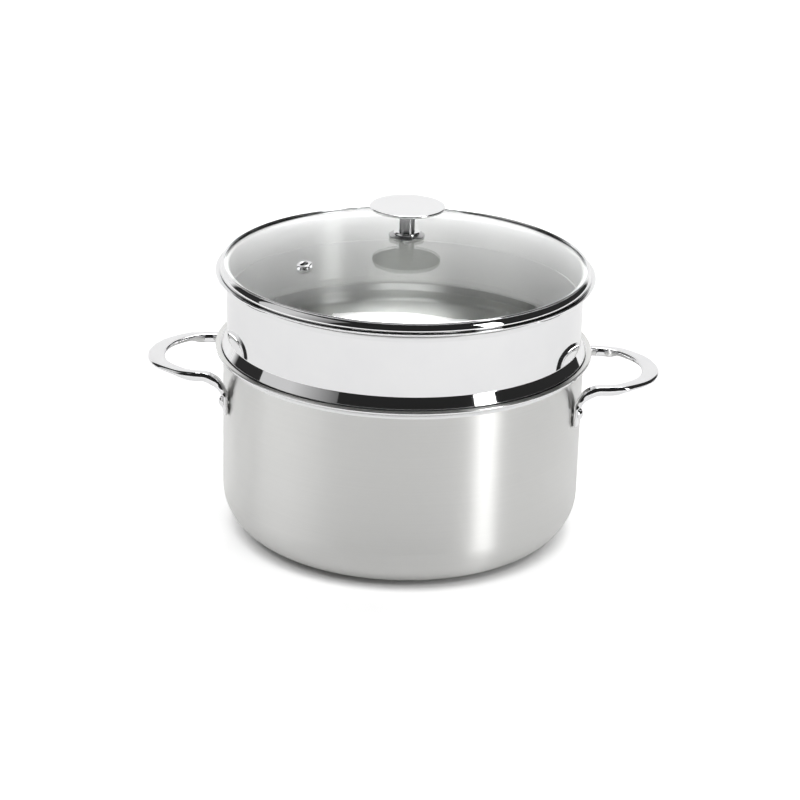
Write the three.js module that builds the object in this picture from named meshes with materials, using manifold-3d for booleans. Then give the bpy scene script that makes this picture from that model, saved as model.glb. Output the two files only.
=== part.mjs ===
// Stainless steel steamer pot: a pot, a steamer insert that hangs in its pouring lip, and a domed glass lid.
// Millimetres, +Z up, origin on the table under the middle of the pot, handles along X.
import * as THREE from 'three';
import { mergeGeometries, mergeVertices } from 'three/addons/utils/BufferGeometryUtils.js';
import Module from 'manifold-3d';

// Gaps between neighbours
const FIT_GAP = 0.3;
const THIN_GAP = 0.2;

// Pot: drawn shell with a round bottom corner and a flared pouring lip
const POT_RADIUS = 122.5;
const POT_WALL = 2.5;
const POT_HEIGHT = 131.2;
const POT_CORNER = 30;
const POT_FLARE = 4;

// Steamer insert: thin drawn sheet with a hollow bead that seats in the pot's lip
const STEAMER_SHEET = 0.8;
const STEAMER_SLIP = 1;
const SHOULDER_STEP = 1.2;
const SEAT_SLOPE = THREE.MathUtils.degToRad(32);
const BEAD_REACH = 3.2;
const BEAD_HEIGHT = 6.8;
const BEAD_ROUND = 1.2;
const BEAD_TURN = 25;
const BEAD_NECK = 0.2;
const STEAMER_RISE = 52.5;
const STEAMER_SINK = 11.7;
const STEAMER_CORNER = 4;
const STEAMER_FLARE = 7.2;

// Steam holes: a six-sided field in the middle of the insert's floor
const HOLE_RADIUS = 3.5;
const HOLE_PITCH = 16;
const HOLE_RINGS = 3;
const ROW_SPACING = HOLE_PITCH * Math.sqrt(3) / 2;

// Lid: domed glass in a rolled steel band with a deep skirt
const LID_INSET = 2.8;
const LID_ROUND = 1.4;
const BAND_TURN = THREE.MathUtils.degToRad(12);
const LID_CROWN = 19.9;
const GLASS_THICK = 4;
const GLASS_HOLE = 3.5;
const BAND_SHEET = 0.6;
const BAND_GRIP = 3.2;
const SKIRT_SLIP = 1;
const SKIRT_DEPTH = 17.7;

// Steam vent: a pressed eyelet through the glass
const VENT_OFFSET = 80;
const VENT_BEARING = THREE.MathUtils.degToRad(-145);
const VENT_BORE = 2.4;
const VENT_TUBE = 0.6;
const VENT_FLANGE = 5;
const VENT_FLANGE_THICK = 0.8;

// Knob: a flat disc on a stem, standing on a collar and a dish
const KNOB_RADIUS = 25.35;
const KNOB_THICK = 1.9;
const KNOB_RISE = 21;
const STEM_RADIUS = 5.15;
const COLLAR_RADIUS = 8.6;
const COLLAR_HEIGHT = 1.5;
const DISH_RADIUS = 12.2;
const DISH_SEAT = 9;
const DISH_THICK = 0.7;
const DISH_DROP = 0.6;
const DISH_EDGE = 0.4;
const SEAL_THICK = 0.4;
const WASHER_RADIUS = 5.5;
const WASHER_THICK = 1;
const SCREW_RADIUS = 2.5;
const SCREW_HEAD = 4.2;
const SCREW_HEAD_THICK = 2.2;
const SCREW_HEAD_FLAT = 2.5;
const SCREW_CHAMFER = 0.8;
const SCREW_GRIP = 8;

// Handles: a bar bent into a flat loop, flattened at the grip and at the two feet
const HANDLE_DROP = 13.6;
const LOOP_REACH = 36;
const LOOP_SPREAD = 38;
const LOOP_OFFSET = 10;
const BAR_SINK = 1.2;
const FOOT_SPREAD = 38;
const FOOT_LENGTH = 28;
const RIVET_DROP = 18.4;
const BEND_RISE = 10;
const BEND_OUT = 2.7;
const BEND_DROP = 2.8;
const FOOT_WIDTH = 11.5;
const FOOT_THICK = 3.4;
const FOOT_TIP_THICK = 2.2;
const FOOT_TIP_WIDTH = 8.3;
const FOOT_TIP_ROUND = 1.4;
const FOOT_END_WIDTH = 4;
const FOOT_END_THICK = 1.8;
const FOOT_NECK_THICK = 4.9;
const BAR_WIDTH = 7.6;
const BAR_THICK = 5.8;
const GRIP_WIDTH = 11.6;
const GRIP_THICK = 2.8;
const GRIP_END_WIDTH = 9.9;
const GRIP_END_THICK = 3.4;
const GRIP_ANGLE = THREE.MathUtils.degToRad(58);
const GRIP_STEP = THREE.MathUtils.degToRad(17);
const SECTION_POWER = 3.4;

// Rivets: one through each foot, with a dome outside and a flat button inside
const RIVET_RADIUS = 3;
const RIVET_DOME = 4.3;
const RIVET_DOME_RISE = 2.2;
const RIVET_BUTTON = 6;
const RIVET_BUTTON_THICK = 1.6;

// Facets
const ROUND = 48;
const KNOB_ROUND = 32;
const SMALL_ROUND = 18;
const RIVET_ROUND = 10;
const HOLE_ROUND = 8;
const CORNER_STEPS = 5;
const ARC_STEPS = 3;
const DOME_STEPS = 5;
const SECTION_STEPS = 10;
const BAR_STEPS = 2;
const EDGE_STEPS = 2;
const RIM_STEPS = 3;
const EDGE_TURN = 60;
const WELD = 1e-4;

const wasm = await Module();
wasm.setup();

const steamer = steamerSizes();
const lid = lidSizes();
const handle = handleSizes();

// Sizes that follow from the driving dimensions

/** Places the insert on the pot's lip and works out its main radii and levels. */
function steamerSizes() {
  const lipBend = { r: POT_RADIUS + POT_FLARE, z: POT_HEIGHT - POT_WALL - POT_FLARE };
  const reach = POT_FLARE + POT_WALL + FIT_GAP;
  const seat = {
    r: lipBend.r - reach * Math.sin(SEAT_SLOPE),
    z: lipBend.z + reach * Math.cos(SEAT_SLOPE),
  };
  const footRadius = POT_RADIUS - POT_WALL - STEAMER_SLIP;
  const radius = footRadius + SHOULDER_STEP;
  const beadRadius = radius + BEAD_REACH;
  const shoulderAt = (r) => seat.z + (r - seat.r) * Math.tan(SEAT_SLOPE);
  const top = POT_HEIGHT + STEAMER_RISE;
  return {
    footRadius,
    radius,
    beadRadius,
    beadFoot: shoulderAt(beadRadius),
    shoulderFoot: shoulderAt(footRadius),
    floor: POT_HEIGHT - STEAMER_SINK,
    top,
    flare: { r: radius + STEAMER_FLARE, z: top - STEAMER_SHEET - STEAMER_FLARE },
    lipRadius: radius + STEAMER_FLARE + STEAMER_SHEET / 2,
  };
}

/** Seats the lid's rolled band on the insert's flare and works out the dome above it. */
function lidSizes() {
  const radius = steamer.lipRadius - LID_INSET;
  const roundR = radius - LID_ROUND;
  const across = steamer.flare.r - roundR;
  const between = STEAMER_FLARE + STEAMER_SHEET + LID_ROUND + FIT_GAP;
  const roundZ = steamer.flare.z + Math.sqrt(between * between - across * across);
  const rim = roundZ - LID_ROUND + BAND_SHEET + THIN_GAP;
  const domeRadius = (roundR * roundR + LID_CROWN * LID_CROWN) / (2 * LID_CROWN) + GLASS_THICK;
  const crown = rim + LID_CROWN + GLASS_THICK;
  const centre = crown - domeRadius;
  const top = domeRadius + THIN_GAP + BAND_SHEET;
  const face = faceRadius(roundR, roundZ - centre, top);
  const back = face - LID_ROUND;
  const faceCentre = { r: roundR - back * Math.cos(BAND_TURN), z: roundZ - back * Math.sin(BAND_TURN) };
  return {
    round: { r: roundR, z: roundZ },
    face: { ...faceCentre, radius: face },
    crown,
    domeRadius,
    centre,
    grip: radius - BAND_GRIP,
    underCrown: crown - GLASS_THICK,
    skirtRadius: steamer.radius - STEAMER_SHEET - SKIRT_SLIP,
    skirtFoot: steamer.top - SKIRT_DEPTH,
  };
}

/** Radius of the band's outer face, which runs smoothly from the rolled edge to the dome above the glass. */
function faceRadius(roundR, roundZ, top) {
  const near = top - LID_ROUND;
  const along = roundR * Math.cos(BAND_TURN) + roundZ * Math.sin(BAND_TURN);
  return LID_ROUND + (near * near - roundR * roundR - roundZ * roundZ) / (2 * (near - along));
}

/** Works out where the handle's bar, feet and rivets lie on the pot's wall. */
function handleSizes() {
  const z = POT_HEIGHT - HANDLE_DROP;
  const footAngle = Math.asin(FOOT_SPREAD / POT_RADIUS);
  return { z, footAngle, loopX: POT_RADIUS + LOOP_OFFSET, rivetZ: z - RIVET_DROP, footZ: z - FOOT_LENGTH };
}

// Shared tools

/** Points along an arc in the profile plane, from one angle to another in degrees. */
function arc(r, z, radius, from, to, steps = ARC_STEPS) {
  return Array.from({ length: steps + 1 }, (_, i) => {
    const angle = THREE.MathUtils.degToRad(from + ((to - from) * i) / steps);
    return [r + radius * Math.cos(angle), z + radius * Math.sin(angle)];
  });
}

/** Points along the dome at a distance outside the glass, between two radii. */
function domeLine(offset, from, to, steps = DOME_STEPS) {
  return Array.from({ length: steps + 1 }, (_, i) => {
    const r = from + ((to - from) * i) / steps;
    return [r, lid.centre + Math.sqrt((lid.domeRadius + offset) ** 2 - r * r)];
  });
}

/** Turns a profile about the Z axis. */
function turned(profile, segments = ROUND) {
  const points = profile.map(([r, z]) => new THREE.Vector2(Math.max(r, 0), z));
  return new THREE.LatheGeometry(points, segments).rotateX(Math.PI / 2);
}

/** Turns a ring profile by closing it on itself. */
function turnedRing(profile, segments = ROUND) {
  return turned([...profile, profile[0]], segments);
}

/** Flat-ended ring between two radii and two levels. */
function plainRing(inner, outer, low, high, segments = SMALL_ROUND) {
  return turnedRing([[inner, low], [outer, low], [outer, high], [inner, high]], segments);
}

/** A round bar along Z for cutting holes. */
function drill(radius, length, segments) {
  return new THREE.CylinderGeometry(radius, radius, length, segments).rotateX(Math.PI / 2);
}

/** Lays a piece made along Z along the outward direction at a bearing and height on the pot. */
function onWall(geometry, bearing, z) {
  return geometry.rotateY(Math.PI / 2).rotateZ(bearing).translate(0, 0, z);
}

/** Bare geometry with shared corners, ready for cutting. */
function bare(geometry) {
  const shape = geometry.clone();
  shape.deleteAttribute('normal');
  shape.deleteAttribute('uv');
  return mergeVertices(shape, WELD);
}

/** Closed solid from geometry. */
function solid(geometry) {
  const shape = bare(geometry);
  const vertProperties = Float32Array.from(shape.attributes.position.array);
  const triVerts = Uint32Array.from(shape.index.array);
  return new wasm.Manifold(new wasm.Mesh({ numProp: 3, vertProperties, triVerts }));
}

/** Geometry with a set of tools cut out of it. */
function cut(geometry, tools) {
  const mesh = tools.reduce((left, tool) => left.subtract(solid(tool)), solid(geometry)).getMesh();
  const result = new THREE.BufferGeometry();
  result.setAttribute('position', new THREE.Float32BufferAttribute(mesh.vertProperties, 3));
  result.setIndex(Array.from(mesh.triVerts));
  return result;
}

// Pot

/** The four rivet bearings around the pot, by name. */
function rivetBearings() {
  return {
    rivet_right_back: handle.footAngle,
    rivet_right_front: -handle.footAngle,
    rivet_left_back: Math.PI - handle.footAngle,
    rivet_left_front: Math.PI + handle.footAngle,
  };
}

/** A drill through the wall and a handle's foot at one rivet. */
function rivetDrill(bearing) {
  const reach = 2 * RIVET_BUTTON + FOOT_THICK;
  const tool = drill(RIVET_RADIUS + FIT_GAP, 2 * reach, SMALL_ROUND).translate(0, 0, POT_RADIUS);
  return onWall(tool, bearing, handle.rivetZ);
}

/** Drawn shell: flat base, round corner, straight wall and flared lip with a round edge. */
function potBody() {
  const edge = POT_WALL / 2;
  const bend = { r: POT_RADIUS + POT_FLARE, z: POT_HEIGHT - POT_WALL - POT_FLARE };
  const shell = turned([
    [0, 0],
    ...arc(POT_RADIUS - POT_CORNER, POT_CORNER, POT_CORNER, -90, 0, CORNER_STEPS),
    ...arc(bend.r, bend.z, POT_FLARE, 180, 90),
    ...arc(bend.r, POT_HEIGHT - edge, edge, -EDGE_TURN, EDGE_TURN, EDGE_STEPS),
    ...arc(bend.r, bend.z, POT_FLARE + POT_WALL, 90, 180),
    ...arc(POT_RADIUS - POT_CORNER, POT_CORNER, POT_CORNER - POT_WALL, 0, -90, CORNER_STEPS),
    [0, POT_WALL],
  ]);
  return cut(shell, Object.values(rivetBearings()).map(rivetDrill));
}

/** One-piece rivet along its own axis: button inside, shank through wall and foot, dome outside. */
function rivet(bearing) {
  const inner = (POT_RADIUS - POT_WALL) * Math.cos(Math.PI / ROUND) - FIT_GAP;
  const outer = POT_RADIUS + FIT_GAP + FOOT_THICK + THIN_GAP;
  const domeRadius = (RIVET_DOME ** 2 + RIVET_DOME_RISE ** 2) / (2 * RIVET_DOME_RISE);
  const domeEdge = THREE.MathUtils.radToDeg(Math.acos(RIVET_DOME / domeRadius));
  const domeCentre = outer + RIVET_DOME_RISE - domeRadius;
  const shape = turned([
    [0, inner - RIVET_BUTTON_THICK],
    [RIVET_BUTTON - RIVET_BUTTON_THICK / 2, inner - RIVET_BUTTON_THICK],
    [RIVET_BUTTON, inner - RIVET_BUTTON_THICK / 2],
    [RIVET_BUTTON, inner],
    [RIVET_RADIUS, inner],
    [RIVET_RADIUS, outer],
    ...arc(0, domeCentre, domeRadius, domeEdge, 90),
  ], RIVET_ROUND);
  return onWall(shape, bearing, handle.rivetZ);
}

// Handles

/** Stations along half a handle, from a foot's tip to the middle of the grip. */
function handleStations() {
  const onFoot = (z, width, thick) => {
    const out = POT_RADIUS + FIT_GAP + thick / 2;
    const at = new THREE.Vector3(out * Math.cos(handle.footAngle), out * Math.sin(handle.footAngle), z);
    return { at, turn: Math.PI / 2 + handle.footAngle, width, thick };
  };
  const onLoop = (angle, width, thick, sink) => {
    const x = handle.loopX + LOOP_REACH * Math.cos(angle);
    const at = new THREE.Vector3(x, LOOP_SPREAD * Math.sin(angle), handle.z - sink);
    return { at, turn: angle, width, thick };
  };
  const footTop = onFoot(handle.z - BEND_RISE, (FOOT_WIDTH + BAR_WIDTH) / 2, FOOT_NECK_THICK);
  const bend = onFoot(handle.z - BAR_SINK - BEND_DROP, BAR_WIDTH, BAR_THICK);
  bend.at.x += BEND_OUT;
  return [
    onFoot(handle.footZ, FOOT_END_WIDTH, FOOT_END_THICK),
    onFoot(handle.footZ + FOOT_TIP_ROUND, FOOT_TIP_WIDTH, FOOT_TIP_THICK),
    onFoot(handle.footZ + FOOT_WIDTH / 2, FOOT_WIDTH, (FOOT_TIP_THICK + FOOT_THICK) / 2),
    onFoot(handle.rivetZ, FOOT_WIDTH, FOOT_THICK),
    onFoot(handle.rivetZ + RIVET_DOME, FOOT_WIDTH, FOOT_THICK),
    footTop,
    bend,
    onLoop(Math.PI / 2, BAR_WIDTH, BAR_THICK, BAR_SINK),
    onLoop(GRIP_ANGLE + GRIP_STEP, BAR_WIDTH, BAR_THICK, BAR_SINK),
    onLoop(GRIP_ANGLE, GRIP_END_WIDTH, GRIP_END_THICK, 0),
    onLoop(GRIP_ANGLE / 2, GRIP_WIDTH, GRIP_THICK, 0),
    onLoop(0, GRIP_WIDTH, GRIP_THICK, 0),
  ];
}

/** Bar swept through its stations with a rounded section that changes along the way. */
function handleBar() {
  const half = handleStations();
  const mirrored = half.slice(0, -1).reverse().map((s) => (
    { at: new THREE.Vector3(s.at.x, -s.at.y, s.at.z), turn: -s.turn, width: s.width, thick: s.thick }));
  const stations = [...half, ...mirrored];
  const path = new THREE.CatmullRomCurve3(stations.map((s) => s.at));
  const spans = stations.length - 1;
  const rings = spans * BAR_STEPS;
  const positions = [];
  const blunt = (value) => Math.sign(value) * Math.abs(value) ** (2 / SECTION_POWER);
  for (let i = 0; i <= rings; i += 1) {
    const along = (i / rings) * spans;
    const k = Math.min(Math.floor(along), spans - 1);
    const mix = (key) => THREE.MathUtils.lerp(stations[k][key], stations[k + 1][key], along - k);
    const tangent = path.getTangent(i / rings);
    const side = new THREE.Vector3(Math.cos(mix('turn')), Math.sin(mix('turn')), 0);
    side.addScaledVector(tangent, -side.dot(tangent)).normalize();
    const up = new THREE.Vector3().crossVectors(tangent, side);
    for (let j = 0; j < SECTION_STEPS; j += 1) {
      const angle = (2 * Math.PI * (j + 0.5)) / SECTION_STEPS;
      const corner = path.getPoint(i / rings)
        .addScaledVector(side, (mix('width') / 2) * blunt(Math.cos(angle)))
        .addScaledVector(up, (mix('thick') / 2) * blunt(Math.sin(angle)));
      positions.push(corner.x, corner.y, corner.z);
    }
  }
  const index = [];
  for (let i = 0; i < rings; i += 1) {
    for (let j = 0; j < SECTION_STEPS; j += 1) {
      const a = i * SECTION_STEPS + j;
      const b = i * SECTION_STEPS + ((j + 1) % SECTION_STEPS);
      index.push(a, b, a + SECTION_STEPS, b, b + SECTION_STEPS, a + SECTION_STEPS);
    }
  }
  const last = rings * SECTION_STEPS;
  for (let j = 1; j < SECTION_STEPS - 1; j += 1) {
    index.push(0, j + 1, j, last, last + j, last + j + 1);
  }
  const bar = new THREE.BufferGeometry();
  bar.setAttribute('position', new THREE.Float32BufferAttribute(positions, 3));
  bar.setIndex(index);
  return bar;
}

/** Handle on the right, with its feet hollowed to the wall and drilled for the rivets. */
function handlePiece() {
  const clear = turned([
    [0, 0],
    [POT_RADIUS + FIT_GAP, 0],
    [POT_RADIUS + FIT_GAP, POT_HEIGHT],
    [0, POT_HEIGHT],
  ]);
  return cut(handleBar(), [clear, rivetDrill(handle.footAngle), rivetDrill(-handle.footAngle)]);
}

// Steamer insert

/** Centres of the steam holes, ring by ring on a six-sided grid. */
function holeCentres() {
  const centres = [];
  for (let a = -HOLE_RINGS; a <= HOLE_RINGS; a += 1) {
    for (let b = -HOLE_RINGS; b <= HOLE_RINGS; b += 1) {
      if (Math.abs(a + b) <= HOLE_RINGS) {
        centres.push([HOLE_PITCH * (a + b / 2), ROW_SPACING * b]);
      }
    }
  }
  return centres;
}

/** Drawn insert: holed floor, lower wall, hollow bead, straight wall and flared lip. */
function steamerInsert() {
  const { footRadius, radius, beadRadius, beadFoot, shoulderFoot, floor, top, flare } = steamer;
  const sheet = STEAMER_SHEET;
  const corner = floor + STEAMER_CORNER;
  const inner = sheet * Math.tan(SEAT_SLOPE / 2 + Math.PI / 4);
  const slopeDeg = THREE.MathUtils.radToDeg(SEAT_SLOPE);
  const beadZ = beadFoot + BEAD_ROUND;
  const beadR = beadRadius - BEAD_ROUND;
  const shell = turned([
    [0, floor],
    ...arc(footRadius - STEAMER_CORNER, corner, STEAMER_CORNER, -90, 0),
    [footRadius, shoulderFoot],
    ...arc(beadR, beadZ, BEAD_ROUND, slopeDeg - 90, BEAD_TURN),
    [radius, beadZ + BEAD_HEIGHT],
    ...arc(flare.r, flare.z, STEAMER_FLARE, 180, 90),
    [steamer.lipRadius, top - sheet / 2],
    ...arc(flare.r, flare.z, STEAMER_FLARE + sheet, 90, 180),
    [radius - sheet, beadZ + BEAD_HEIGHT - BEAD_NECK],
    ...arc(beadR, beadZ, BEAD_ROUND - sheet, BEAD_TURN, slopeDeg - 90, EDGE_STEPS),
    [footRadius - sheet, shoulderFoot + inner - sheet * Math.tan(SEAT_SLOPE)],
    ...arc(footRadius - STEAMER_CORNER, corner, STEAMER_CORNER - sheet, 0, -90, EDGE_STEPS),
    [0, floor + sheet],
  ]);
  const holes = holeCentres().map(([x, y]) => bare(drill(HOLE_RADIUS, STEAMER_CORNER, HOLE_ROUND)
    .translate(x, y, floor)));
  return cut(shell, [mergeGeometries(holes)]);
}

// Lid

/** Where the vent's axis meets the top of the glass, and the turn that lays Z along it. */
function ventPlace() {
  const x = VENT_OFFSET * Math.cos(VENT_BEARING);
  const y = VENT_OFFSET * Math.sin(VENT_BEARING);
  const z = Math.sqrt(lid.domeRadius ** 2 - VENT_OFFSET ** 2);
  const out = new THREE.Vector3(x, y, z).divideScalar(lid.domeRadius);
  const turn = new THREE.Quaternion().setFromUnitVectors(new THREE.Vector3(0, 0, 1), out);
  const at = new THREE.Vector3(x, y, z + lid.centre);
  return new THREE.Matrix4().compose(at, turn, new THREE.Vector3(1, 1, 1));
}

/** The rolled edge and outer face at a distance inside the band, from one angle to another. */
function edgeLine(inset, from, to, steps) {
  const { round, face } = lid;
  const turn = THREE.MathUtils.radToDeg(BAND_TURN);
  return [
    ...arc(round.r, round.z, LID_ROUND - inset, from, turn, steps),
    ...arc(face.r, face.z, face.radius - inset, turn, to),
  ];
}

/** The angle on the band's outer face, in degrees, at a distance inside it and a radius on the lid. */
function faceAngle(inset, r) {
  return THREE.MathUtils.radToDeg(Math.acos((r - lid.face.r) / (lid.face.radius - inset)));
}

/** Domed glass with a round edge, a middle hole for the screw and a hole for the vent. */
function lidGlass() {
  const inset = BAND_SHEET + THIN_GAP;
  const meet = lid.domeRadius / (lid.domeRadius - lid.face.radius + inset);
  const edge = edgeLine(inset, -EDGE_TURN, faceAngle(inset, lid.face.r * meet), 1);
  const [, ...rest] = domeLine(0, lid.face.r * meet, GLASS_HOLE);
  const dome = turnedRing([
    ...domeLine(-GLASS_THICK, GLASS_HOLE, lid.round.r),
    ...edge,
    ...rest,
  ]);
  const hole = drill(VENT_BORE + VENT_TUBE + FIT_GAP, 4 * GLASS_THICK, SMALL_ROUND);
  return cut(dome, [hole.applyMatrix4(ventPlace())]);
}

/** Rolled band: curved face over the glass, round edge, seat under the glass and skirt in the insert. */
function lidBand() {
  const { round, grip, skirtRadius, skirtFoot } = lid;
  const under = -GLASS_THICK - THIN_GAP;
  const skirtInner = skirtRadius - BAND_SHEET;
  const [, ...seat] = domeLine(under - BAND_SHEET, skirtRadius, round.r, EDGE_STEPS);
  const outside = edgeLine(0, -EDGE_TURN, faceAngle(0, grip), EDGE_STEPS);
  const inside = edgeLine(BAND_SHEET, -EDGE_TURN, faceAngle(BAND_SHEET, grip), 1).reverse();
  return turnedRing([
    [skirtInner, skirtFoot],
    [skirtRadius, skirtFoot],
    [skirtRadius, seat[0][1] - BAND_SHEET],
    ...seat,
    ...outside,
    ...inside,
    ...domeLine(under, round.r, skirtInner, 1),
  ]);
}

/** Pressed eyelet: tube through the glass with a flange above and below. */
function ventEyelet() {
  const above = FIT_GAP;
  const below = -GLASS_THICK - FIT_GAP;
  const tube = VENT_BORE + VENT_TUBE;
  return turnedRing([
    [VENT_BORE, below - VENT_FLANGE_THICK],
    [VENT_FLANGE - VENT_FLANGE_THICK / 2, below - VENT_FLANGE_THICK],
    [VENT_FLANGE, below],
    [tube, below],
    [tube, above],
    [VENT_FLANGE, above],
    [VENT_FLANGE - VENT_FLANGE_THICK / 2, above + VENT_FLANGE_THICK],
    [VENT_BORE + VENT_TUBE / 2, above + VENT_FLANGE_THICK],
    [VENT_BORE, above],
  ], SMALL_ROUND).applyMatrix4(ventPlace());
}

// Knob and its fastening

const sealTop = lid.crown + THIN_GAP + SEAL_THICK;
const dishTop = sealTop + THIN_GAP + DISH_THICK;
const standing = dishTop + THIN_GAP;
const knobTop = lid.crown + KNOB_RISE;
const knobUnder = knobTop - KNOB_THICK;
const washerTop = lid.underCrown - 2 * THIN_GAP - SEAL_THICK;
const screwSeat = washerTop - WASHER_THICK - THIN_GAP;
const screwClear = SCREW_RADIUS + FIT_GAP;

/** Flat disc with a round edge. */
function knobDisc() {
  const edge = KNOB_THICK / 2;
  return turned([
    [0, knobUnder],
    ...arc(KNOB_RADIUS - edge, knobUnder + edge, edge, -90, 90, RIM_STEPS),
    [0, knobTop],
  ], KNOB_ROUND);
}

/** Straight stem with a blind hole for the screw. */
function knobStem() {
  const top = knobUnder - THIN_GAP;
  const depth = standing + SCREW_GRIP + 2 * FIT_GAP;
  return turned([
    [0, depth],
    [screwClear, depth],
    [screwClear, standing],
    [STEM_RADIUS, standing],
    [STEM_RADIUS, top],
    [0, top],
  ], SMALL_ROUND);
}

/** Ring around the stem's foot with a rounded shoulder. */
function knobCollar() {
  const inner = STEM_RADIUS + FIT_GAP;
  return turnedRing([
    [inner, standing],
    ...arc(COLLAR_RADIUS - COLLAR_HEIGHT, standing, COLLAR_HEIGHT, 0, 90),
    [inner, standing + COLLAR_HEIGHT],
  ], SMALL_ROUND);
}

/** Shallow dish turned over on the glass: flat over the seal, sloping down to a thin rim. */
function knobDish() {
  const low = sealTop + THIN_GAP;
  const rim = low - DISH_DROP;
  return turnedRing([
    [screwClear, low],
    [DISH_SEAT, low],
    [DISH_RADIUS - DISH_EDGE, rim],
    [DISH_RADIUS, rim],
    [DISH_RADIUS, rim + DISH_EDGE],
    [COLLAR_RADIUS, dishTop],
    [screwClear, dishTop],
  ], SMALL_ROUND);
}

/** Screw from below: round head under the washer and a shank up into the stem. */
function lidScrew() {
  const low = screwSeat - SCREW_HEAD_THICK;
  const tip = standing + SCREW_GRIP;
  return turned([
    [0, low],
    [SCREW_HEAD_FLAT, low],
    [SCREW_HEAD, low + SCREW_HEAD_THICK / 2],
    [SCREW_HEAD, screwSeat],
    [SCREW_RADIUS, screwSeat],
    [SCREW_RADIUS, tip - SCREW_CHAMFER],
    [SCREW_RADIUS - SCREW_CHAMFER, tip],
    [0, tip],
  ], SMALL_ROUND);
}

// Assembly

const STEEL = { color: 0xc4c6c8, roughness: 0.32, metalness: 1 };
const POLISHED = { color: 0xd6d7d9, roughness: 0.08, metalness: 1 };
const GLASS = { color: 0xe6efec, roughness: 0.03, metalness: 0, transparent: true, opacity: 0.3 };
const SEAL = { color: 0x1d1e20, roughness: 0.6, metalness: 0 };

const group = new THREE.Group();
group.name = 'steamer_pot';

/** Adds one named piece with its own finish. */
function add(name, geometry, finish) {
  const mesh = new THREE.Mesh(geometry, new THREE.MeshStandardMaterial(finish));
  mesh.name = name;
  group.add(mesh);
}

const sealRadius = DISH_SEAT - FIT_GAP;
const sealFoot = washerTop + THIN_GAP;
add('pot_body', potBody(), STEEL);
add('handle_right', handlePiece(), POLISHED);
add('handle_left', handlePiece().rotateZ(Math.PI), POLISHED);
for (const [name, bearing] of Object.entries(rivetBearings())) {
  add(name, rivet(bearing), POLISHED);
}
add('steamer_insert', steamerInsert(), POLISHED);
add('lid_glass', lidGlass(), GLASS);
add('lid_band', lidBand(), POLISHED);
add('vent_eyelet', ventEyelet(), POLISHED);
add('seal_upper', plainRing(screwClear, sealRadius, lid.crown + THIN_GAP, sealTop), SEAL);
add('knob_dish', knobDish(), POLISHED);
add('knob_collar', knobCollar(), POLISHED);
add('knob_stem', knobStem(), POLISHED);
add('knob_disc', knobDisc(), STEEL);
add('seal_lower', plainRing(screwClear, WASHER_RADIUS, sealFoot, lid.underCrown - THIN_GAP), SEAL);
add('lid_washer', plainRing(screwClear, WASHER_RADIUS, washerTop - WASHER_THICK, washerTop), POLISHED);
add('lid_screw', lidScrew(), POLISHED);

export default group;
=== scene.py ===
"""Stainless steel steamer pot in a plain studio: pot, steamer insert and glass lid.

Metres, +Z up, origin on the table under the middle of the pot, handles along X.
Sizes in the classes are written in millimetres, as a maker would give them.
"""

import logging
import math
from abc import ABC, abstractmethod
from contextlib import contextmanager
from dataclasses import dataclass
from enum import Enum
from functools import cache
from typing import Callable, Iterator, Mapping, Optional, Sequence, Union

import bpy
from mathutils import Matrix, Quaternion, Vector

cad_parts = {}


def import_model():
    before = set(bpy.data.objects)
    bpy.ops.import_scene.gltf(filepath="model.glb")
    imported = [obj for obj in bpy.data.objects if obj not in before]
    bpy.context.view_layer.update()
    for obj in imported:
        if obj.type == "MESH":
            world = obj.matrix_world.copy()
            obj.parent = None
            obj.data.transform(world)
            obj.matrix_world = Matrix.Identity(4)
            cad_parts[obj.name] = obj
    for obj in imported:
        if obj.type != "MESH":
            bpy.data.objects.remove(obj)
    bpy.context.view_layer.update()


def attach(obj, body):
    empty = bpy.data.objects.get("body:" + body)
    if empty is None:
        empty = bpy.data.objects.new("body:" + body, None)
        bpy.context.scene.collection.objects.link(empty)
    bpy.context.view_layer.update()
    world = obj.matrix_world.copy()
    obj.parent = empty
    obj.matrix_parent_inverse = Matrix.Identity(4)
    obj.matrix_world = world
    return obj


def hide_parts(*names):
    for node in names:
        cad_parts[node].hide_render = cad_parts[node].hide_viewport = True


LOG = logging.getLogger("steamer_pot")
MM = 0.001
TURN = 2 * math.pi
SAME = 1e-6  # Points that lie closer than this, in metres, count as one.
FLAT = 0.5  # A face whose normal rises or falls by more than this counts as lying flat.
Colour = tuple[float, float, float]
Place = tuple[float, float, float]
Section = tuple[float, float, float]  # Level, width and thickness.
Pair = tuple[float, float]
Piece = bpy.types.Object


class Body(Enum):
    """The bodies that a piece can ride on."""

    POT = "pot"
    STEAMER = "steamer"
    LID = "lid"


class Slot(Enum):
    """The record's material slots."""

    BRUSHED = "brushed_steel"
    POLISHED = "polished_steel"
    GLASS = "lid_glass"
    SEAL = "seal"


# Shader maths


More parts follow.
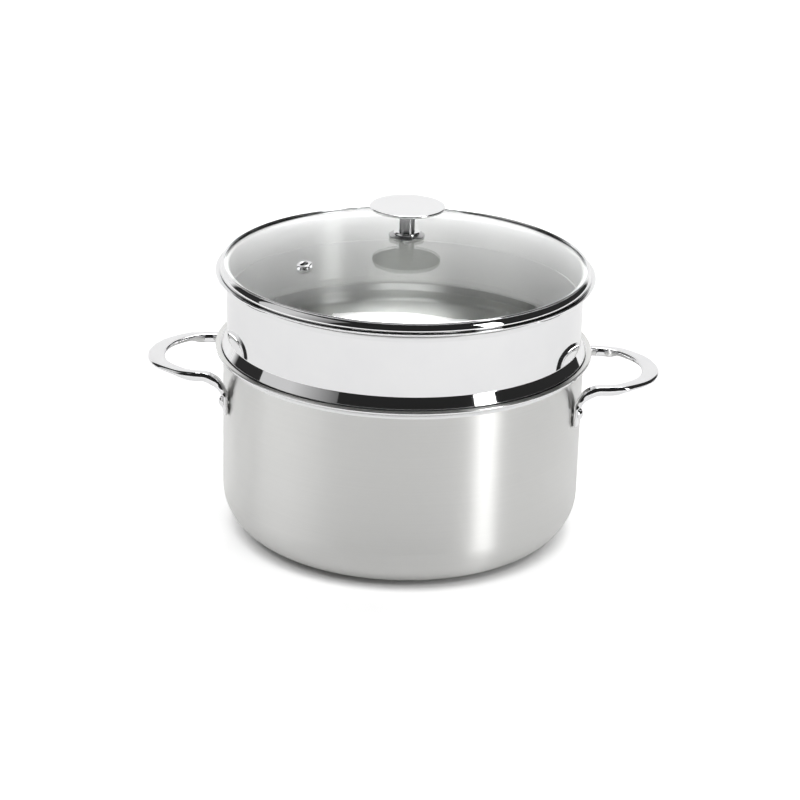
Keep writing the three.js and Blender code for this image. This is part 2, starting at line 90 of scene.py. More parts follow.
class Wire:
    """A shader socket that takes part in Python expressions."""

    def __init__(self, shader: "Shader", socket: bpy.types.NodeSocket) -> None:
        """Keeps the socket and the shader that it belongs to."""
        self.shader = shader
        self.socket = socket

    def maths(self, operation: str, first: "Value", second: "Value") -> "Wire":
        """Adds one Math node.

        Args:
            operation: The Math node's operation.
            first: Its first value or link.
            second: Its second value or link.

        Returns:
            The node's result.
        """
        return self.shader.node("ShaderNodeMath", {"operation": operation}, {0: first, 1: second})

    def __add__(self, other: "Value") -> "Wire":
        """This plus another value."""
        return self.maths("ADD", self, other)

    def __sub__(self, other: "Value") -> "Wire":
        """This less another value."""
        return self.maths("SUBTRACT", self, other)

    def __rsub__(self, other: "Value") -> "Wire":
        """Another value less this."""
        return self.maths("SUBTRACT", other, self)

    def __mul__(self, other: "Value") -> "Wire":
        """This times another value."""
        return self.maths("MULTIPLY", self, other)

    def __truediv__(self, other: "Value") -> "Wire":
        """This divided by another value."""
        return self.maths("DIVIDE", self, other)

    def __rtruediv__(self, other: "Value") -> "Wire":
        """Another value divided by this."""
        return self.maths("DIVIDE", other, self)

    def __pow__(self, other: "Value") -> "Wire":
        """This to a power."""
        return self.maths("POWER", self, other)

    def __rpow__(self, other: "Value") -> "Wire":
        """Another value to the power of this."""
        return self.maths("POWER", other, self)

    __radd__ = __add__
    __rmul__ = __mul__


Value = Union[Wire, float]


class Shader:
    """Node tree of a finish, the floor, a lamp or the world, built from small expressions."""

    def __init__(self, owner: Union[bpy.types.Material, bpy.types.World, bpy.types.Light]) -> None:
        """Clears the owner's tree.

        Args:
            owner: The material, world or lamp to give nodes to.
        """
        owner.use_nodes = True
        self.tree = owner.node_tree
        self.tree.nodes.clear()

    def node(
        self,
        kind: str,
        settings: Optional[Mapping[str, object]] = None,
        sockets: Optional[Mapping[Union[str, int], object]] = None,
        output: Union[str, int] = 0,
    ) -> Wire:
        """Adds one node.

        Args:
            kind: The node's type.
            settings: Its settings, which are set first; "stops" fills a colour ramp.
            sockets: Values or links by socket name or number.
            output: The output that is wanted.

        Returns:
            That output.
        """
        made = self.tree.nodes.new(kind)
        for key, value in (settings or {}).items():
            if key == "stops":
                self.fill_ramp(made.color_ramp, value)
            else:
                setattr(made, key, value)
        for key, value in (sockets or {}).items():
            if isinstance(value, Wire):
                self.tree.links.new(value.socket, made.inputs[key])
            else:
                made.inputs[key].default_value = value
        return Wire(self, made.outputs[output]) if made.outputs else Wire(self, made.inputs[0])

    @staticmethod
    def fill_ramp(ramp: bpy.types.ColorRamp, stops: Sequence[Pair]) -> None:
        """Sets a grey ramp's stops.

        Args:
            ramp: The ramp to fill.
            stops: Positions and grey values.
        """
        while len(ramp.elements) < len(stops):
            ramp.elements.new(1.0)
        for element, (place, grey) in zip(ramp.elements, stops):
            element.position = place
            element.color = (grey, grey, grey, 1.0)

    def place(self) -> Wire:
        """The point on the piece, in its own frame."""
        return self.node("ShaderNodeTexCoord", output="Object")

    def parts(self, vector: Wire) -> tuple[Wire, Wire, Wire]:
        """The three parts of a vector."""
        split = self.node("ShaderNodeSeparateXYZ", sockets={0: vector}).socket.node
        return tuple(Wire(self, socket) for socket in split.outputs)

    def noise(self, vector: Wire, scale: float, detail: float, roughness: float = 0.5) -> Wire:
        """Soft noise.

        Args:
            vector: Where it is read.
            scale: How fine it is.
            detail: Its number of octaves.
            roughness: How strong the finer octaves are.

        Returns:
            The noise from 0 to 1.
        """
        sockets = {"Vector": vector, "Scale": scale, "Detail": detail, "Roughness": roughness}
        return self.node("ShaderNodeTexNoise", sockets=sockets)

    def between(self, fraction: Wire, low: Colour, high: Colour) -> Wire:
        """Colour between two colours.

        Args:
            fraction: 0 for the first colour and 1 for the second.
            low: First colour.
            high: Second colour.

        Returns:
            The mixed colour.
        """
        sockets = {0: fraction, 6: (*low, 1.0), 7: (*high, 1.0)}
        return self.node("ShaderNodeMix", {"data_type": "RGBA"}, sockets, 2)

    def fade(self, value: Wire, start: float, end: float, first: float, last: float) -> Wire:
        """A number that goes from one value to another over a range.

        Args:
            value: What it follows.
            start: Where the range starts.
            end: Where the range ends.
            first: The number up to the start.
            last: The number from the end on.

        Returns:
            The number.
        """
        sockets = {0: value, 1: start, 2: end, 3: first, 4: last}
        return self.node("ShaderNodeMapRange", sockets=sockets)

    def bump(self, height: Wire, strength: float, distance: float) -> Wire:
        """Bump from a height.

        Args:
            height: The height from 0 to 1.
            strength: How much of it shows.
            distance: What a height of 1 measures, in metres.

        Returns:
            The bent normal.
        """
        sockets = {"Height": height, "Strength": strength, "Distance": distance}
        return self.node("ShaderNodeBump", sockets=sockets)

    def surface(self, sockets: Mapping[str, object]) -> None:
        """Ends the tree in a Principled surface.

        Args:
            sockets: Values or links of the Principled shader.
        """
        principled = self.node("ShaderNodeBsdfPrincipled", sockets=sockets)
        self.node("ShaderNodeOutputMaterial", sockets={"Surface": principled})


# Finishes


@dataclass(frozen=True)
class Finish(ABC):
    """What every finish has: a name, the two colours that it varies between, and a roughness."""

    name: str
    light: Colour
    dark: Colour
    roughness: float

    @abstractmethod
    def look(self, shader: Shader) -> dict[str, object]:
        """Values and links of the Principled shader.

        Args:
            shader: The node tree to build in.

        Returns:
            The values and links by socket name.
        """

    @cache
    def material(self) -> bpy.types.Material:
        """The finish as a material, which is built once.

        Returns:
            The material.
        """
        made = bpy.data.materials.new(self.name)
        shader = Shader(made)
        shader.surface(self.look(shader))
        return made


@dataclass(frozen=True)
class TurnedSteel(Finish):
    """Steel with fine lines that run round the Z axis, from satin to nearly mirror."""

    spread: float
    lines: float
    depth: float
    stretch: float = 0.0
    across: float = 0.25
    smear: float = 0.03
    smear_scale: float = 22.0
    line_share: float = 0.6
    axis: float = 1e-8

    def look(self, shader: Shader) -> dict[str, object]:
        """Lines and smears as colour and roughness, and the lines as bump.

        Args:
            shader: The node tree to build in.

        Returns:
            The values and links by socket name.
        """
        place = shader.place()
        x, y, z = shader.parts(place)
        reach = (x * x + y * y + self.axis) ** 0.5
        sockets = {0: x / reach, 1: y / reach, 2: (reach + z) * self.lines}
        lines = shader.noise(shader.node("ShaderNodeCombineXYZ", sockets=sockets), 1.0, 3.0, 0.6)
        smear = shader.noise(place, self.smear_scale, 3.0)
        tone = lines * self.line_share + smear * (1.0 - self.line_share)
        return {
            "Base Color": shader.between(tone, self.dark, self.light),
            "Metallic": 1.0,
            "Roughness": (lines - 0.5) * self.spread + (smear - 0.5) * self.smear + self.roughness,
            "Anisotropic": self.stretch,
            "Anisotropic Rotation": self.across,
            "Normal": shader.bump(lines, 1.0, self.depth),
        }


@dataclass(frozen=True)
class MirrorSteel(Finish):
    """Polished steel with faint wipe marks and the slight waves of drawn sheet."""

    smear: float
    wave: float
    smear_scale: float = 45.0
    wave_scale: float = 16.0

    def look(self, shader: Shader) -> dict[str, object]:
        """Wipe marks as colour and roughness, and the waves as bump.

        Args:
            shader: The node tree to build in.

        Returns:
            The values and links by socket name.
        """
        place = shader.place()
        smear = shader.noise(place, self.smear_scale, 4.0, 0.6)
        wave = shader.noise(place, self.wave_scale, 1.0)
        return {
            "Base Color": shader.between(smear, self.dark, self.light),
            "Metallic": 1.0,
            "Roughness": (smear - 0.5) * self.smear + self.roughness,
            "Normal": shader.bump(wave, 1.0, self.wave),
        }


@dataclass(frozen=True)
class ClearGlass(Finish):
    """Clear tempered glass with faint wipe marks."""

    index: float
    smear_scale: float = 30.0

    def look(self, shader: Shader) -> dict[str, object]:
        """Wipe marks as colour and roughness.

        Args:
            shader: The node tree to build in.

        Returns:
            The values and links by socket name.
        """
        smear = shader.noise(shader.place(), self.smear_scale, 3.0)
        return {
            "Base Color": shader.between(smear, self.dark, self.light),
            "Roughness": smear * self.roughness,
            "IOR": self.index,
            "Transmission Weight": 1.0,
        }


@dataclass(frozen=True)
class Silicone(Finish):
    """Dull dark seal rubber with a fine moulded grain."""

    spread: float = 0.2
    grain_scale: float = 1400.0
    grain_strength: float = 0.3
    grain_depth: float = 5e-5

    def look(self, shader: Shader) -> dict[str, object]:
        """The grain as colour, roughness and bump.

        Args:
            shader: The node tree to build in.

        Returns:
            The values and links by socket name.
        """
        grain = shader.noise(shader.place(), self.grain_scale, 2.0)
        return {
            "Base Color": shader.between(grain, self.dark, self.light),
            "Roughness": (grain - 0.5) * self.spread + self.roughness,
            "Normal": shader.bump(grain, self.grain_strength, self.grain_depth),
        }


SATIN = TurnedSteel("satin_steel", (0.85, 0.85, 0.835), (0.775, 0.775, 0.76),
                    0.33, 0.06, 900.0, 2e-6, 0.95)
LINING = TurnedSteel("lining_steel", (0.89, 0.89, 0.87), (0.83, 0.83, 0.81),
                     0.46, 0.08, 700.0, 3e-6, 0.95)
KNOB_TOP = TurnedSteel("knob_steel", (0.90, 0.90, 0.90), (0.85, 0.85, 0.86),
                       0.18, 0.08, 2600.0, 3e-6)
# Darker steel as painted shade: it makes the knob's stem, dish and disc underside read dark, as if
# shaded and reflecting the dark room.
POST_PAINTED_SHADE = TurnedSteel("post_steel_painted_shade", (0.48, 0.48, 0.48), (0.40, 0.40, 0.41), 0.25, 0.08, 1800.0, 3e-6)
LIP = MirrorSteel("lip_steel", (0.84, 0.84, 0.84), (0.78, 0.78, 0.79), 0.14, 0.05, 1e-5)
MIRROR = MirrorSteel("mirror_steel", (0.86, 0.86, 0.86), (0.82, 0.82, 0.83), 0.035, 0.02, 1e-5)
BAR = MirrorSteel("bar_steel", (0.84, 0.84, 0.84), (0.79, 0.79, 0.80), 0.06, 0.03, 1e-5)
GLASS = ClearGlass("clear_glass", (0.99, 1.0, 1.0), (0.97, 0.985, 0.98), 0.01, 1.5)
SEAL = Silicone("seal_rubber", (0.06, 0.06, 0.065), (0.035, 0.035, 0.04), 0.6)


# Modelling bench


@dataclass(frozen=True)
class Corner:
    """One corner of a profile in millimetres, with the radius that rounds it."""

    r: float
    z: float
    round: float = 0.0
    steps: int = 6

    def point(self) -> Vector:
        """The corner in the XZ plane, in metres."""
        return Vector((self.r * MM, 0.0, self.z * MM))


@dataclass(frozen=True)
class Bend:
    """One arc of a profile about a point in millimetres, clockwise in degrees."""

    r: float
    z: float
    turn: float
    steps: int = 8

    def carry(self, point: Vector) -> Vector:
        """Where the arc takes a point, in metres."""
        centre = Corner(self.r, self.z).point()
        return centre + Matrix.Rotation(math.radians(self.turn), 3, "Y") @ (point - centre)


Move = Union[Corner, Bend]


def select_only(obj: Piece) -> None:
    """Makes one object the only selected and active one.

    Args:
        obj: The object.
    """
    bpy.ops.object.select_all(action="DESELECT")
    obj.select_set(True)
    bpy.context.view_layer.objects.active = obj


@contextmanager
def editing(obj: Piece, test: Optional[Callable[[Vector], bool]] = None) -> Iterator[None]:
    """Holds a piece in edit mode with some of its points selected.

    Args:
        obj: The piece, in object mode.
        test: Says whether a point is wanted; without it all are.

    Yields:
        Nothing.
    """
    select_only(obj)
    for group in (obj.data.polygons, obj.data.edges, obj.data.vertices):
        group.foreach_set("select", [False] * len(group))
    for vertex in obj.data.vertices:
        vertex.select = bool(test and test(vertex.co))
    bpy.ops.object.mode_set(mode="EDIT")
    bpy.ops.mesh.select_mode(type="VERT")
    if test is None:
        bpy.ops.mesh.select_all(action="SELECT")
    try:
        yield
    finally:
        bpy.ops.object.mode_set(mode="OBJECT")


def added(name: str) -> Piece:
    """Names the object that was just added.

    Args:
        name: Its name, and its mesh's.

    Returns:
        The object.
    """
    obj = bpy.context.object
    obj.name = obj.data.name = name
    return obj


def round_corner(obj: Piece, at: Corner, before: Vector, after: Vector) -> None:
    """Rounds one corner of a profile.

    Args:
        obj: The profile's object, in object mode.
        at: The corner.
        before: The point before it.
        after: The point after it.
    """
    here = at.point()
    turn = (here - before).angle(after - here)
    with editing(obj, lambda point: (point - here).length < SAME):
        bpy.ops.mesh.bevel(offset=at.round * MM * math.tan(turn / 2), offset_type="OFFSET",
                           segments=at.steps, affect="VERTICES", clamp_overlap=False)


def draw_profile(name: str, moves: Sequence[Move], closed: bool) -> Piece:
    """Draws a profile from a plane that is merged to one point, by extruding and spinning it.

    Args:
        name: The new object's name.
        moves: A first corner, then corners and bends in order.
        closed: Whether the end joins the start.

    Returns:
        The object, in object mode.
    """
    points = [moves[0].point()]
    bpy.ops.object.select_all(action="DESELECT")
    bpy.ops.mesh.primitive_plane_add(size=MM)
    obj = added(name)
    with editing(obj):
        bpy.ops.mesh.merge(type="CENTER")
        bpy.ops.transform.translate(value=points[0])
        for move in moves[1:]:
            if isinstance(move, Bend):
                bpy.ops.mesh.spin(steps=move.steps, angle=math.radians(move.turn),
                                  center=Corner(move.r, move.z).point(), axis=(0, -1, 0))
                points.append(move.carry(points[-1]))
            else:
                step = move.point() - points[-1]
                bpy.ops.mesh.extrude_region_move(TRANSFORM_OT_translate={"value": step})
                points.append(move.point())
    if closed:
        ends = (points[0], points[-1])
        with editing(obj, lambda point: min((point - end).length for end in ends) < SAME):
            bpy.ops.mesh.edge_face_add()
    for index, move in enumerate(moves):
        if isinstance(move, Corner) and move.round > 0:
            round_corner(obj, move, points[index - 1], points[(index + 1) % len(points)])
    return obj


def turn_piece(name: str, moves: Sequence[Move], closed: bool = False,
               steps: int = 96) -> Piece:
    """Turns a piece from its profile, and closes its seam and poles.

    Args:
        name: The new object's name.
        moves: The profile's first corner, then its corners and bends.
        closed: Whether the profile closes on itself.
        steps: Number of facets round.

    Returns:
        The object.
    """
    obj = draw_profile(name, moves, closed)
    with editing(obj):
        bpy.ops.mesh.spin(steps=steps, angle=TURN, center=(0, 0, 0), axis=(0, 0, 1))
        bpy.ops.mesh.select_all(action="SELECT")
        bpy.ops.mesh.remove_doubles(threshold=SAME)
        bpy.ops.mesh.normals_make_consistent(inside=False)
    return obj


def apply_modifier(obj: Piece, kind: str, settings: Mapping[str, object]) -> None:
    """Adds a modifier and applies it.

    Args:
        obj: The object.
        kind: The modifier's type.
        settings: Its settings.
    """
    select_only(obj)
    modifier = obj.modifiers.new(kind.title(), kind)
    for key, value in settings.items():
        setattr(modifier, key, value)
    bpy.ops.object.modifier_apply(modifier=modifier.name)


def thicken(obj: Piece, thickness: float) -> None:
    """Gives a sheet its thickness, half to each side."""
    apply_modifier(obj, "SOLIDIFY", {"thickness": thickness * MM, "offset": 0.0,
                                     "use_even_offset": True})


def soften(obj: Piece, width: float, steps: int = 3, above: float = 50.0) -> None:
    """Rounds the sharp edges of a piece and merges points that meet.

    Args:
        obj: The object.
        width: Bevel width in millimetres.
        steps: Bevel steps.
        above: The angle in degrees from which an edge counts as sharp.
    """
    apply_modifier(obj, "BEVEL", {"width": width * MM, "segments": steps, "limit_method": "ANGLE",
                                  "angle_limit": math.radians(above), "use_clamp_overlap": True})
    with editing(obj):
        bpy.ops.mesh.remove_doubles(threshold=SAME)


def smooth(obj: Piece, angle: float = 32.0) -> None:
    """Shades a piece smooth except across sharp edges, and keeps its large faces flat.

    Args:
        obj: The object.
        angle: The angle in degrees from which an edge counts as sharp.
    """
    select_only(obj)
    bpy.ops.object.shade_smooth_by_angle(angle=math.radians(angle))
    apply_modifier(obj, "WEIGHTED_NORMAL", {"weight": 100, "keep_sharp": True})


def lay(obj: Piece, matrix: Matrix) -> None:
    """Moves a piece made at the origin to its place, and puts the place in its mesh.

    Args:
        obj: The object.
        matrix: Where it goes.
    """
    select_only(obj)
    obj.matrix_world = matrix
    bpy.ops.object.transform_apply(location=True, rotation=True, scale=True)


def copy_piece(obj: Piece, name: str, matrix: Matrix) -> Piece:
    """Copies a piece with a mesh of its own and lays it elsewhere.

    Args:
        obj: The piece to copy.
        name: The copy's name.
        matrix: The move from the original to the copy.

    Returns:
        The copy.
    """
    select_only(obj)
    bpy.ops.object.duplicate(linked=False)
    made = added(name)
    lay(made, matrix)
    return made


def join_flat(obj: Piece, level: float) -> None:
    """Joins the faces that lie in one plane at a level, so that a cut leaves no slivers.

    Args:
        obj: The piece.
        level: The level in millimetres.
    """
    with editing(obj, lambda point: abs(point.z - level * MM) < SAME):
        bpy.ops.mesh.dissolve_limited(angle_limit=math.radians(0.1))


def cut_holes(obj: Piece, tool: Piece) -> None:
    """Cuts a tool out of a piece, splits the cut faces evenly and removes the tool.

    Args:
        obj: The piece.
        tool: The closed cutter.
    """
    apply_modifier(obj, "BOOLEAN", {"object": tool, "operation": "DIFFERENCE", "solver": "EXACT"})
    apply_modifier(obj, "TRIANGULATE", {"min_vertices": 5, "ngon_method": "BEAUTY"})
    bpy.data.objects.remove(tool)


def dress(obj: Piece, node: str, body: Body, slot: Slot, *finishes: Finish) -> None:
    """Gives a piece its finishes, hides the CAD node that it stands for and hangs it on the body
    that it rides on.

    Args:
        obj: The piece.
        node: The CAD node.
        body: The body.
        slot: Not used.
        finishes: One or more finishes.
    """
    obj.data.materials.clear()
    for finish in finishes:
        obj.data.materials.append(finish.material())
    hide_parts(node)
    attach(obj, body.value)


# Pot


@dataclass
class PotBody:
    """Drawn pot with a round bottom corner and a flared pouring lip, in millimetres."""

    wall: float = 2.5
    radius: float = 122.5
    height: float = 131.2
    corner: float = 30.0
    flare: float = 4.0
    lip: float = 127.75
    rub: float = 124.2
    edge: float = 1.05
    steps: int = 192

    def build(self) -> list[Piece]:
        """Builds and dresses the pot.

        Returns:
            The pot.
        """
        half = self.wall / 2
        wall = self.radius - half
        top = self.height - half
        obj = turn_piece("pot_shell", [
            Corner(0.0, half),
            Corner(wall, half, self.corner - half, 16),
            Corner(wall, top, self.flare + half, 10),
            Corner(self.lip, top),
        ], steps=self.steps)
        thicken(obj, self.wall)
        soften(obj, self.edge, 4)
        smooth(obj)
        dress(obj, "pot_body", Body.POT, Slot.BRUSHED, SATIN, LIP)
        for face in obj.data.polygons:
            upper = face.center.z > (self.height - self.wall - self.flare) * MM
            worn = face.normal.z > FLAT and face.center.xy.length > self.rub * MM
            face.material_index = int(upper and not worn)
        return [obj]


@dataclass(frozen=True)
class Station:
    """One station of the handle's bar: a point and its section."""

    at: Vector
    width: float
    thick: float


@dataclass
class LoopHandle:
    """Bar bent into a flat loop, pressed flat at the grip and at the two feet, in millimetres."""

    wall: float = 122.8
    spread: float = 38.0
    level: float = 117.6
    sink: float = 1.2
    loop_x: float = 132.5
    reach: float = 36.0
    bend_out: float = 4.6
    bend_start: float = 0.14
    lean: float = 0.01
    clear: float = 0.3
    grip: float = 58.0
    grip_step: float = 17.0
    # Sections up the foot, then widths and thicknesses along the loop.
    tip: Section = (89.6, 4.0, 1.8)
    feet: tuple[Section, ...] = (
        (91.0, 8.3, 2.2), (95.35, 11.5, 2.8), (99.2, 11.5, 3.4), (103.5, 11.5, 3.4))
    leg: Section = (107.6, 9.55, 4.9)
    bend: Section = (113.6, 7.6, 5.8)
    rod: Pair = (7.6, 5.8)
    neck: Pair = (9.9, 3.4)
    pad: Pair = (11.6, 2.8)
    steps: int = 7
    shoulder: float = 0.22
    heel: float = 0.08
    squash: float = 3.0
    corner: float = 0.48
    crease: float = 40.0

    def foot(self, z: float, width: float, thick: float, out: float = 0.0) -> Station:
        """A station on the wall.

        Args:
            z: Its level.
            width: The section's width.
            thick: The section's thickness.
            out: Extra way off the wall.

        Returns:
            The station.
        """
        bearing = math.asin(self.spread / (self.wall - self.clear))
        away = self.wall + thick / 2 + (z - self.tip[0]) * self.lean
        x = away * math.cos(bearing) + out * math.cos(bearing / 2)
        y = away * math.sin(bearing) + out * math.sin(bearing / 2)
        return Station(Vector((x, y, z)), width, thick)

    def loop(self, angle: float, width: float, thick: float, sink: float) -> Station:
        """A station on the loop.

        Args:
            angle: Bearing in the loop, in degrees, 0 at the middle of the grip.
            width: The section's width.
            thick: The section's thickness.
            sink: How far it lies under the grip's level.

        Returns:
            The station.
        """
        turn = math.radians(angle)
        x = self.loop_x + self.reach * math.cos(turn)
        return Station(Vector((x, self.spread * math.sin(turn), self.level - sink)), width, thick)

    def stations(self) -> list[Station]:
        """Stations from one foot's tip to the other's.

        Returns:
            The stations in order.
        """
        half = [
            *(self.foot(*section) for section in (self.tip, *self.feet)),
            self.foot(*self.leg, self.bend_out * self.bend_start),
            self.foot(*self.bend, self.bend_out),
            self.loop(90.0, *self.rod, self.sink),
            self.loop(self.grip + self.grip_step, *self.rod, self.sink),
            self.loop(self.grip, *self.neck, 0.0),
            self.loop(self.grip / 2, *self.pad, 0.0),
            self.loop(0.0, *self.pad, 0.0),
        ]
        other = [Station(Vector((s.at.x, -s.at.y, s.at.z)), s.width, s.thick) for s in half[-2::-1]]
        return half + other

    @staticmethod
    def lead(before: Vector, at: Vector, after: Vector) -> Vector:
        """Direction of the curve at a point, held so that it never swings past its neighbours.

        Args:
            before: The point before.
            at: The point.
            after: The point after.

        Returns:
            The direction, a station long.
        """
        steps = []
        for back, on in zip(at - before, after - at):
            held = min(abs(back + on) / 2, 3 * abs(back), 3 * abs(on))
            steps.append(math.copysign(held, on) if back * on > 0 else 0.0)
        return Vector(steps)

    def path(self) -> list[Station]:
        """Close stations on a smooth curve through the given ones.

        Returns:
            The stations in order.
        """
        given = self.stations()
        ends = [given[0], *given, given[-1]]
        made = []
        for before, start, end, after in zip(ends, ends[1:], ends[2:], ends[3:]):
            pull = self.lead(before.at, start.at, end.at)
            push = self.lead(start.at, end.at, after.at)
            for step in range(self.steps):
                t = step / self.steps
                at = ((2 * t**3 - 3 * t**2 + 1) * start.at + (t**3 - 2 * t**2 + t) * pull
                      + (3 * t**2 - 2 * t**3) * end.at + (t**3 - t**2) * push)
                ease = t * t * (3 - 2 * t)
                made.append(Station(at, start.width + (end.width - start.width) * ease,
                                    start.thick + (end.thick - start.thick) * ease))
        return [*made, given[-1]]

    def guide(self, path: Sequence[Station]) -> Piece:
        """Wire that the straight bar is bent along.

        Args:
            path: The stations.

        Returns:
            The curve's object.
        """
        curve = bpy.data.curves.new("handle_guide", "CURVE")
        curve.dimensions = "3D"
        curve.twist_mode = "Z_UP"
        spline = curve.splines.new("POLY")
        spline.points.add(len(path) - 1)
        for point, station in zip(spline.points, path):
            point.co = (*(station.at * MM), 1.0)
        obj = bpy.data.objects.new("handle_guide", curve)
        bpy.context.collection.objects.link(obj)
        return obj

    def straight_bar(self, name: str, path: Sequence[Station]) -> Piece:
        """Straight bar along X whose section changes from station to station.

        Args:
            name: The bar's name.
            path: The stations.

        Returns:
            The bar.
        """
        bpy.ops.object.select_all(action="DESELECT")
        bpy.ops.mesh.primitive_plane_add(size=MM, rotation=(0, math.pi / 2, 0))
        bpy.ops.object.transform_apply(location=True, rotation=True, scale=True)
        bar = added(name)
        near = self.corner * MM
        with editing(bar):
            bpy.ops.transform.resize(value=(1, 1, 1 / self.squash), center_override=(0, 0, 0))
        for reach, side in ((self.shoulder, 1), (self.heel, -1)):
            with editing(bar, lambda point: min(abs(point.y), point.z * side * self.squash) > near):
                bpy.ops.mesh.bevel(offset=reach * MM, segments=6, affect="VERTICES")
        along = 0.0
        with editing(bar):
            bpy.ops.transform.resize(value=(1, path[0].width, path[0].thick * self.squash),
                                     center_override=(0, 0, 0))
            for last, station in zip(path, path[1:]):
                step = (station.at - last.at).length * MM
                along += step
                bpy.ops.mesh.extrude_region_move(TRANSFORM_OT_translate={"value": (step, 0, 0)})
                bpy.ops.transform.resize(center_override=(along, 0, 0), value=(
                    1, station.width / last.width, station.thick / last.thick))
            bpy.ops.mesh.select_all(action="SELECT")
            bpy.ops.mesh.normals_make_consistent(inside=False)
        return bar

    def build(self) -> list[Piece]:
        """Builds and dresses both handles.

        Returns:
            The right and the left handle.
        """
        path = self.path()
        bar = self.straight_bar("handle_bar_right", path)
        guide = self.guide(path)
        apply_modifier(bar, "CURVE", {"object": guide, "deform_axis": "POS_X"})
        bpy.data.objects.remove(guide)
        smooth(bar, self.crease)
        other = copy_piece(bar, "handle_bar_left", Matrix.Rotation(math.pi, 4, "Z"))
        dress(bar, "handle_right", Body.POT, Slot.POLISHED, BAR)
        dress(other, "handle_left", Body.POT, Slot.POLISHED, BAR)
        return [bar, other]


@dataclass
class Rivets:
    """Dome rivets through the handle feet, with flat buttons inside, in millimetres."""

    bearing: float = math.asin(LoopHandle.spread / PotBody.radius)
    level: float = 99.2
    inner: float = 119.44
    outer: float = 126.4
    shank: float = 3.0
    dome: float = 4.3
    rise: float = 2.2
    button: float = 6.0
    button_thick: float = 1.6
    button_round: float = 0.7
    seat_round: float = 0.3

    def build(self) -> list[Piece]:
        """Builds and dresses the four rivets.

        Returns:
            The rivets.
        """
        low = self.inner - self.button_thick
        ball = (self.dome**2 + self.rise**2) / (2 * self.rise)
        slope = math.degrees(math.asin(1 - self.rise / ball))
        first = turn_piece("rivet_head_first", [
            Corner(0.0, low),
            Corner(self.button, low, self.button_round, 4),
            Corner(self.button, self.inner, self.seat_round, 2),
            Corner(self.shank, self.inner),
            Corner(self.shank, self.outer),
            Corner(self.dome, self.outer),
            Bend(0.0, self.outer + self.rise - ball, slope - 90.0, 10),
        ], steps=48)
        smooth(first)
        made = []
        for name, bearing in (
            ("rivet_right_back", self.bearing),
            ("rivet_right_front", -self.bearing),
            ("rivet_left_back", math.pi - self.bearing),
            ("rivet_left_front", math.pi + self.bearing),
        ):
            place = (Matrix.Translation((0, 0, self.level * MM)) @ Matrix.Rotation(bearing, 4, "Z")
                     @ Matrix.Rotation(math.pi / 2, 4, "Y"))
            rivet = copy_piece(first, name.replace("rivet", "rivet_head"), place)
            dress(rivet, name, Body.POT, Slot.POLISHED, BAR)
            made.append(rivet)
        bpy.data.objects.remove(first)
        return made


# Steamer insert


@dataclass
class SteamerInsert:
    """Drawn insert with a holed floor, a hollow seating bead and a flared lip, in millimetres."""

    sheet: float = 0.8
    floor: float = 119.9
    foot: float = 118.6
    corner: float = 3.6
    shoulder: float = 127.9
    bead: float = 123.25
    bead_level: float = 131.5
    bead_round: float = 0.2
    wall: float = 119.8
    neck: float = 138.5
    top: float = 183.3
    flare: float = 7.6
    lip: float = 127.8
    seat_round: float = 0.8
    neck_round: float = 1.6
    edge: float = 0.3
    satin_floor: float = 1.5
    bright_lip: float = 3.0
    hole: float = 3.5
    drill: float = 6.0
    pitch: float = 16.0
    rings: int = 3
    steps: int = 192

    def cutter(self) -> Piece:
        """Round bars through the floor where the steam holes go.

        Returns:
            One object with all the bars.
        """
        bars = []
        row = range(-self.rings, self.rings + 1)
        for a, b in ((a, b) for a in row for b in row if abs(a + b) <= self.rings):
            x, y = self.pitch * (a + b / 2), self.pitch * b * math.sqrt(0.75)
            bpy.ops.object.select_all(action="DESELECT")
            bpy.ops.mesh.primitive_cylinder_add(
                vertices=24, radius=self.hole * MM, depth=self.drill * MM,
                location=(x * MM, y * MM, self.floor * MM))
            bars.append(bpy.context.object)
        for bar in bars:
            bar.select_set(True)
        bpy.ops.object.join()
        return bpy.context.object

    def build(self) -> list[Piece]:
        """Builds and dresses the insert.

        Returns:
            The insert.
        """
        obj = turn_piece("steamer_shell", [
            Corner(0.0, self.floor),
            Corner(self.foot, self.floor, self.corner, 8),
            Corner(self.foot, self.shoulder, self.seat_round, 3),
            Corner(self.bead, self.bead_level, self.bead_round, 5),
            Corner(self.wall, self.neck, self.neck_round, 5),
            Corner(self.wall, self.top, self.flare, 12),
            Corner(self.lip, self.top),
        ], steps=self.steps)
        thicken(obj, self.sheet)
        soften(obj, self.edge, 3)
        for side in (-0.5, 0.5):
            join_flat(obj, self.floor + side * self.sheet)
        cut_holes(obj, self.cutter())
        smooth(obj)
        dress(obj, "steamer_insert", Body.STEAMER, Slot.POLISHED, MIRROR, LINING)
        self.line(obj)
        return [obj]

    def line(self, obj: Piece) -> None:
        """Gives the inside and the floor their satin finish.

        Args:
            obj: The dressed insert.
        """
        for face in obj.data.polygons:
            out = face.center.x * face.normal.x + face.center.y * face.normal.y
            low = face.center.z < (self.floor + self.satin_floor) * MM
            inside = out < 0 and face.center.z < (self.top - self.bright_lip) * MM
            face.material_index = int(low or inside)


# Lid


